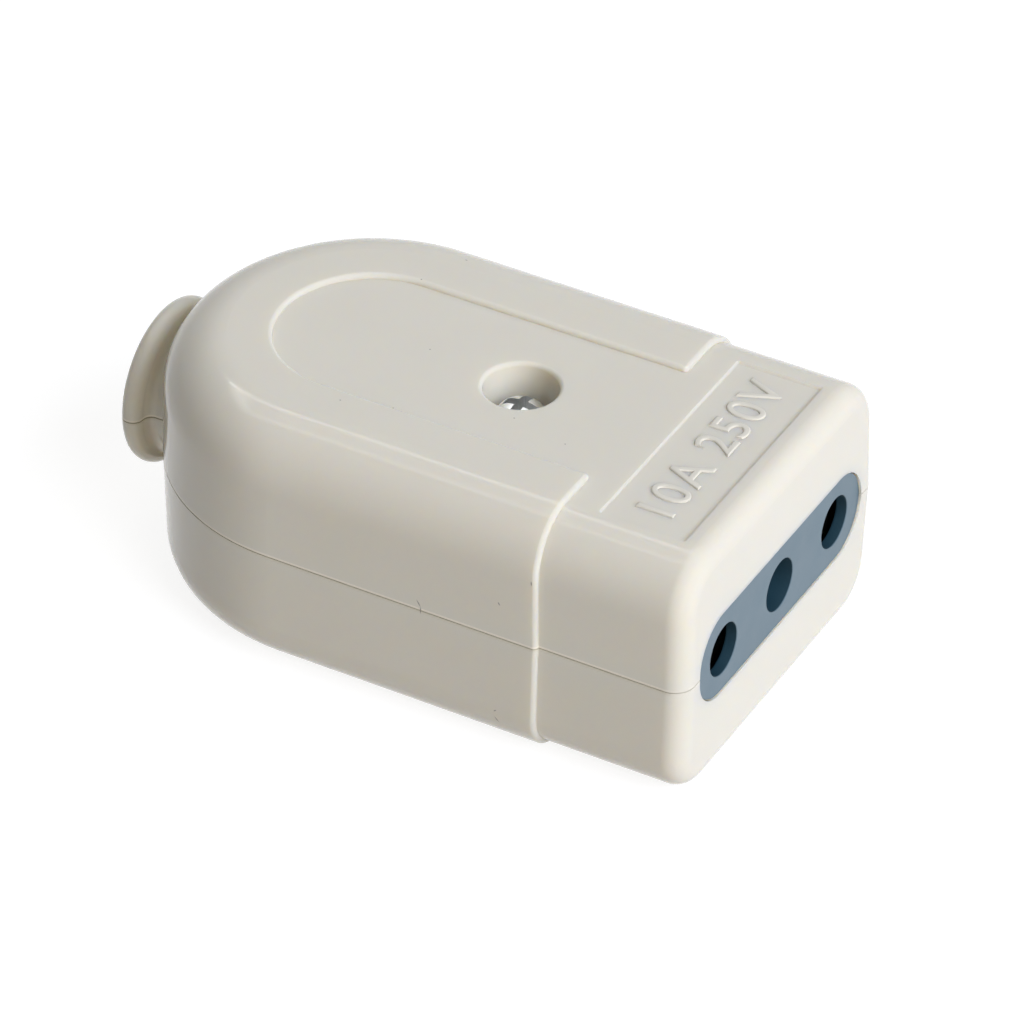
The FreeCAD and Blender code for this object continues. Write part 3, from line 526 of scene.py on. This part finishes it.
def clean_mesh(thing, reach=MERGE_REACH):
    """Merge doubles and turn the faces outwards."""
    take_up(thing)
    bpy.ops.object.mode_set(mode="EDIT")
    bpy.ops.mesh.select_all(action="SELECT")
    bpy.ops.mesh.remove_doubles(threshold=reach)
    bpy.ops.mesh.normals_make_consistent(inside=False)
    bpy.ops.object.mode_set(mode="OBJECT")


def settle(thing, material, body="case"):
    """Finish a new piece: place into its mesh, smooth shading, material and body."""
    take_up(thing)
    bpy.ops.object.transform_apply(location=True, rotation=True, scale=True)
    bpy.ops.object.shade_smooth_by_angle(angle=SMOOTH_ANGLE)
    thing.data.materials.clear()
    thing.data.materials.append(material)
    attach(thing, body)


class SOCKET_OT_case(bpy.types.Operator):
    """Ivory plastic of the two case halves"""
    bl_idname = "power_socket.case"
    bl_label = "Case"

    def execute(self, context):
        tones = colours()
        made = moulded_plastic(
            "ivory_plastic", tones.ivory, tones.ivory_shade, CASE_GLOSS, CASE_GRAIN, CASE_GLOW)
        # Painted shadow in a band under the seam, fading out before the front face
        under = made.spread(made.along("Z"), 0.0, 1.0, SEAM - SEAM_SHADOW_BELOW, SEAM)
        over = made.spread(made.along("Z"), 1.0, 0.0, SEAM, SEAM + SEAM_SHADOW_ABOVE)
        behind = made.spread(made.along("X"), 1.0, 0.0, SEAM_FADE_START, SEAM_FADE_END)
        plastic = made.stain(made.plain(), made.least([under, over, behind]), tones.seam)
        # Painted highlight on the edge just over the seam
        edge = made.band("Z", SEAM + HIGHLIGHT_FOOT, SEAM + HIGHLIGHT_TOP, HIGHLIGHT_FADE)
        plastic = made.stain(plastic, made.least([edge, behind]), tones.edge)
        # Painted shade on the inner walls round the shutter
        painted_shade = made.least([made.band(axis, low, high, PAINTED_SHADE_FADE) for axis, low, high in PAINTED_SHADE_ROOM])
        plastic = made.stain(plastic, painted_shade, tones.inside)
        spots = made.most([made.speck(start, end) for start, end in SPECKS])
        darken = made.spread(spots, 0.0, SPECK_STRENGTH, 0.0, 1.0)
        made.colour(made.stain(plastic, darken, tones.speck))
        crisp = made.band("Z", SEAM - CRISP_REACH, SEAM + CRISP_REACH, CRISP_FADE)
        made.glow(made.spread(made.most([crisp, spots]), CASE_GLOW, 0.0, 0.0, 1.0))
        dress(made.material, "upper_shell", "lower_shell")
        return {"FINISHED"}


class SOCKET_OT_front_plate(bpy.types.Operator):
    """Blue-grey plastic of the plate with the pin entries, and a collar behind each outer entry"""
    bl_idname = "power_socket.front_plate"
    bl_label = "Front plate"

    def execute(self, context):
        tone = colours().blue_grey
        shade = tinted(tone, PLATE_SHADE)
        made = moulded_plastic("blue_grey_plastic", tone, shade, PLATE_GLOSS, PLATE_GRAIN)
        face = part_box("socket_face")[1].x
        # Painted shade on the walls of the entries, from just behind the face inwards; the collars
        # lie wholly in it
        depth = made.spread(made.along("X"), 1.0, 0.0, face - WALL_SHADE_FULL, face - WALL_SHADE_START)
        made.colour(made.stain(made.plain(), depth, colours().entry_wall_shade))
        made.set(IOR=PLATE_IOR)
        dress(made.material, "socket_face")
        for name, side in (("line_collar", -1), ("neutral_collar", 1)):
            self.collar(name, face, side * PIN_PITCH, made.material)
        return {"FINISHED"}

    def collar(self, name, face, offset, material):
        """Short tube that leads a pin from the plate to the shutter."""
        back = face - COLLAR_BACK
        front = face - COLLAR_FRONT
        deselect()
        bpy.ops.mesh.primitive_cylinder_add(
            vertices=COLLAR_SIDES, radius=ENTRY_RADIUS, depth=front - back, end_fill_type="NOTHING",
            location=((front + back) / 2, offset, SEAM), rotation=(0, math.pi / 2, 0))
        tube = bpy.context.object
        tube.name = name
        wall = tube.modifiers.new("wall", "SOLIDIFY")
        wall.thickness = COLLAR_WALL
        wall.offset = 1.0
        bpy.ops.object.modifier_apply(modifier="wall")
        edge = tube.modifiers.new("edge", "BEVEL")
        edge.width = COLLAR_EDGE
        edge.segments = 2
        edge.limit_method = "ANGLE"
        bpy.ops.object.modifier_apply(modifier="edge")
        clean_mesh(tube)
        settle(tube, material)


class SOCKET_OT_shutter(bpy.types.Operator):
    """Black plastic of the shutter"""
    bl_idname = "power_socket.shutter"
    bl_label = "Shutter"

    def execute(self, context):
        tone = colours().black
        shade = tinted(tone, SHUTTER_SHADE)
        made = moulded_plastic("black_plastic", tone, shade, SHUTTER_GLOSS, INNER_GRAIN)
        dress(made.material, "shutter")
        return {"FINISHED"}


class SOCKET_OT_carrier(bpy.types.Operator):
    """Dark plastic of the contact carrier and the cord clamp"""
    bl_idname = "power_socket.carrier"
    bl_label = "Carrier and cord clamp"

    def execute(self, context):
        tone = colours().carrier
        shade = tinted(tone, CARRIER_SHADE)
        made = moulded_plastic("carrier_plastic", tone, shade, CARRIER_GLOSS, INNER_GRAIN)
        dress(made.material, "contact_carrier", "cord_clamp")
        return {"FINISHED"}


class SOCKET_OT_brass(bpy.types.Operator):
    """Rolled brass of the contacts and terminals"""
    bl_idname = "power_socket.brass"
    bl_label = "Contacts and terminals"

    def execute(self, context):
        tone = colours().brass
        made = metal("rolled_brass", tone, tinted(tone, BRASS_DULL), BRASS_GLOSS, BRASS_STRETCH)
        dress(made.material, *CONTACTS, *TERMINALS)
        return {"FINISHED"}


class SOCKET_OT_screws(bpy.types.Operator):
    """Plated steel of the screws and the nut"""
    bl_idname = "power_socket.screws"
    bl_label = "Screws and nut"

    def execute(self, context):
        tone = colours().steel
        made = metal("plated_steel", tone, tinted(tone, STEEL_DULL), STEEL_GLOSS, STEEL_STRETCH)
        dress(made.material, "case_screw", "case_nut", *SMALL_SCREWS)
        return {"FINISHED"}


class SOCKET_OT_springs(bpy.types.Operator):
    """Coil springs that close the shutter, with a closed turn at each end"""
    bl_idname = "power_socket.springs"
    bl_label = "Springs"

    def coil(self, middle, mean, foot, rise, turns):
        """One run of a coil: the wire's section, swept up by a screw modifier."""
        wire = sizes().wire
        deselect()
        start = (middle[0] + mean, middle[1], foot)
        bpy.ops.mesh.primitive_circle_add(
            vertices=WIRE_SIDES, radius=wire / 2, fill_type="NOTHING", location=start,
            rotation=(math.pi / 2, 0, 0))
        run = bpy.context.object
        bpy.ops.object.transform_apply(location=True, rotation=True, scale=True)
        bpy.context.scene.cursor.location = (*middle, foot)
        bpy.ops.object.origin_set(type="ORIGIN_CURSOR")
        sweep = run.modifiers.new("sweep", "SCREW")
        sweep.axis = "Z"
        sweep.screw_offset = rise / turns
        sweep.iterations = turns
        sweep.steps = TURN_STEPS
        sweep.render_steps = TURN_STEPS
        sweep.use_merge_vertices = False
        bpy.ops.object.modifier_apply(modifier="sweep")
        return run

    def close_ends(self, spring):
        """Fill the two open ends of the wire."""
        take_up(spring)
        bpy.ops.object.mode_set(mode="EDIT")
        bpy.ops.mesh.select_all(action="DESELECT")
        bpy.ops.mesh.select_non_manifold()
        bpy.ops.mesh.fill()
        bpy.ops.mesh.select_all(action="SELECT")
        bpy.ops.mesh.normals_make_consistent(inside=False)
        bpy.ops.object.mode_set(mode="OBJECT")

    def execute(self, context):
        tone = colours().steel
        bright, dull = tinted(tone, SPRING_BRIGHT), tinted(tone, SPRING_DULL)
        made = metal("spring_steel", bright, dull, SPRING_GLOSS)
        wire = sizes().wire
        pitch = wire * CLOSED_RISE
        for name in SPRINGS:
            low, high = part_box(name)
            middle = ((low.x + high.x) / 2, (low.y + high.y) / 2)
            mean = (high.x - low.x - wire) / 2
            foot = low.z + wire / 2
            top = high.z - wire / 2
            runs = [
                self.coil(middle, mean, foot, pitch, 1),
                self.coil(middle, mean, foot + pitch, top - foot - 2 * pitch, sizes().turns),
                self.coil(middle, mean, top - pitch, pitch, 1),
            ]
            deselect()
            for run in runs:
                run.select_set(True)
            context.view_layer.objects.active = runs[0]
            bpy.ops.object.join()
            spring = context.object
            spring.name = name + "_coil"
            clean_mesh(spring, WELD_REACH)
            self.close_ends(spring)
            settle(spring, made.material)
            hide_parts(name)
            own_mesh(spring)
        return {"FINISHED"}


class SOCKET_OT_rating(bpy.types.Operator):
    """Raised rating in the panel behind the front edge"""
    bl_idname = "power_socket.rating"
    bl_label = "Rating"

    def execute(self, context):
        want = sizes()
        deselect()
        bpy.ops.object.text_add(location=(0, 0, 0))
        words = context.object
        words.name = "raised_rating"
        text = words.data
        text.body = want.rating
        text.align_x = "CENTER"
        text.align_y = "CENTER"
        text.size = want.rating_height / FIGURE_SHARE
        text.space_character = FIGURE_SPACING
        text.bevel_depth = want.rating_rise
        text.bevel_resolution = FIGURE_ROUNDING
        text.offset = -FIGURE_TRIM
        bpy.ops.object.convert(target="MESH")
        words = context.object
        words.rotation_euler = (0, 0, math.pi / 2)
        words.location = PANEL_MIDDLE
        clean_mesh(words)
        tones = colours()
        made = moulded_plastic(
            "ivory_figures", tones.ivory, tones.ivory_shade, FIGURE_GLOSS, CASE_GRAIN)
        settle(words, made.material)
        return {"FINISHED"}


class SOCKET_OT_stage(bpy.types.Operator):
    """Pale floor, white surroundings, soft studio lights and the camera"""
    bl_idname = "power_socket.stage"
    bl_label = "Stage"

    def seen_ray(self, tree):
        """1 for rays from the camera, from mirrors and through glass."""
        path = tree.nodes.new("ShaderNodeLightPath")
        total = path.outputs["Is Camera Ray"]
        for name in ("Is Glossy Ray", "Is Transmission Ray"):
            either = tree.nodes.new("ShaderNodeMath")
            either.operation = "MAXIMUM"
            tree.links.new(total, either.inputs[0])
            tree.links.new(path.outputs[name], either.inputs[1])
            total = either.outputs[0]
        return total

    def floor(self):
        """Matt floor, brightened where it is seen so that it merges with the white surroundings."""
        deselect()
        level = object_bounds()[0][2] - FLOOR_GAP
        bpy.ops.mesh.primitive_plane_add(size=FLOOR_SIZE, location=(0, 0, level))
        plane = bpy.context.object
        plane.name = "floor"
        material = bpy.data.materials.new("pale_floor")
        material.use_nodes = True
        tree = material.node_tree
        tree.nodes.clear()
        output = tree.nodes.new("ShaderNodeOutputMaterial")
        lit = tree.nodes.new("ShaderNodeBsdfDiffuse")
        lit.inputs["Color"].default_value = FLOOR_LIT
        shown = tree.nodes.new("ShaderNodeBsdfDiffuse")
        shown.inputs["Color"].default_value = FLOOR_SEEN
        glow = tree.nodes.new("ShaderNodeEmission")
        glow.inputs["Strength"].default_value = FLOOR_GLOW
        both = tree.nodes.new("ShaderNodeAddShader")
        tree.links.new(shown.outputs[0], both.inputs[0])
        tree.links.new(glow.outputs[0], both.inputs[1])
        mix = tree.nodes.new("ShaderNodeMixShader")
        tree.links.new(self.seen_ray(tree), mix.inputs[0])
        tree.links.new(lit.outputs[0], mix.inputs[1])
        tree.links.new(both.outputs[0], mix.inputs[2])
        tree.links.new(mix.outputs[0], output.inputs["Surface"])
        plane.data.materials.append(material)
        plane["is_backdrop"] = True

    def surroundings(self):
        """White all round, for the camera and for mirrors only."""
        world = bpy.data.worlds.new("studio")
        bpy.context.scene.world = world
        world.use_nodes = True
        tree = world.node_tree
        tree.nodes.clear()
        output = tree.nodes.new("ShaderNodeOutputWorld")
        white = tree.nodes.new("ShaderNodeBackground")
        white.inputs["Color"].default_value = (1, 1, 1, 1)
        tree.links.new(self.seen_ray(tree), white.inputs["Strength"])
        tree.links.new(white.outputs[0], output.inputs["Surface"])

    def lamp(self, name, place, along, length, width, level, colour):
        """Area light; level 1 lights a face turned to it so that its colour renders as written."""
        place = Vector(place)
        out = place.normalized()
        side = Vector(along) - out * out.dot(Vector(along))
        side.normalize()
        bpy.ops.object.light_add(type="AREA", location=AIM + place)
        lamp = bpy.context.object
        lamp.name = name
        lamp.data.shape = "RECTANGLE"
        lamp.data.size = length
        lamp.data.size_y = width
        lamp.data.color = colour
        lamp.data.energy = level * math.pi ** 2 * place.length_squared
        lamp.rotation_euler = Matrix((side, out.cross(side), out)).transposed().to_euler()
        return lamp

    def camera(self):
        """Camera on its turn and height angles, aimed at the target and then slid and tilted."""
        set_up = stage_settings()
        turn, rise, roll = set_up.azimuth, set_up.elevation, set_up.roll
        reach = math.cos(rise)
        back = Vector((math.sin(turn) * reach, -math.cos(turn) * reach, math.sin(rise)))
        level = Vector((math.cos(turn), math.sin(turn), 0.0))
        over = back.cross(level)
        right = level * math.cos(roll) + over * math.sin(roll)
        up = over * math.cos(roll) - level * math.sin(roll)
        eye = AIM + right * set_up.slide[0] + up * set_up.slide[1] + back * set_up.distance
        bpy.ops.object.camera_add(location=eye)
        camera = bpy.context.object
        camera.name = "camera"
        camera.rotation_euler = Matrix((right, up, back)).transposed().to_euler()
        camera.data.sensor_width = SENSOR_WIDTH
        camera.data.lens = SENSOR_WIDTH * set_up.focal
        camera.data.clip_start = CLIP_START
        camera.data.clip_end = CLIP_END
        bpy.context.scene.camera = camera

    def execute(self, context):
        set_up = stage_settings()
        self.floor()
        self.surroundings()
        levels = {
            "key": set_up.key,
            "side": set_up.side,
            "back": set_up.back,
            "far_tube": set_up.tubes,
            "near_tube": set_up.tubes * NEAR_SHARE,
            "end_tube": set_up.tubes * END_SHARE,
            "panel": set_up.panel,
        }
        for name, place, along, length, width, colour, mirrored in LAMPS:
            lamp = self.lamp(name, place, along, length, width, levels[name], colour)
            lamp.visible_glossy = mirrored
        self.camera()
        context.scene.view_settings.view_transform = "Standard"
        return {"FINISHED"}


PIECES = (
    SOCKET_OT_case,
    SOCKET_OT_front_plate,
    SOCKET_OT_shutter,
    SOCKET_OT_carrier,
    SOCKET_OT_brass,
    SOCKET_OT_screws,
    SOCKET_OT_springs,
    SOCKET_OT_rating,
    SOCKET_OT_stage,
)


class SOCKET_PT_sidebar(bpy.types.Panel):
    """Lists the steps that dress the socket"""
    bl_idname = "SOCKET_PT_sidebar"
    bl_label = "In-line power socket"
    bl_space_type = "VIEW_3D"
    bl_region_type = "UI"
    bl_category = "Socket"

    def draw(self, context):
        layout = self.layout
        for group in (colours(), sizes(), stage_settings()):
            box = layout.box()
            for name in group.__annotations__:
                box.prop(group, name)
        for piece in PIECES:
            layout.operator(piece.bl_idname)


CLASSES = (SocketColours, SocketSizes, SocketStage, *PIECES, SOCKET_PT_sidebar)


def register():
    for made in CLASSES:
        bpy.utils.register_class(made)
    bpy.types.Scene.socket_colours = PointerProperty(type=SocketColours)
    bpy.types.Scene.socket_sizes = PointerProperty(type=SocketSizes)
    bpy.types.Scene.socket_stage = PointerProperty(type=SocketStage)


def unregister():
    del bpy.types.Scene.socket_stage
    del bpy.types.Scene.socket_sizes
    del bpy.types.Scene.socket_colours
    for made in reversed(CLASSES):
        bpy.utils.unregister_class(made)


def main():
    register()
    bpy.ops.power_socket.case()
    bpy.ops.power_socket.front_plate()
    bpy.ops.power_socket.shutter()
    bpy.ops.power_socket.carrier()
    bpy.ops.power_socket.brass()
    bpy.ops.power_socket.screws()
    bpy.ops.power_socket.springs()
    bpy.ops.power_socket.rating()
    bpy.ops.power_socket.stage()


if __name__ == "__main__":
    main()
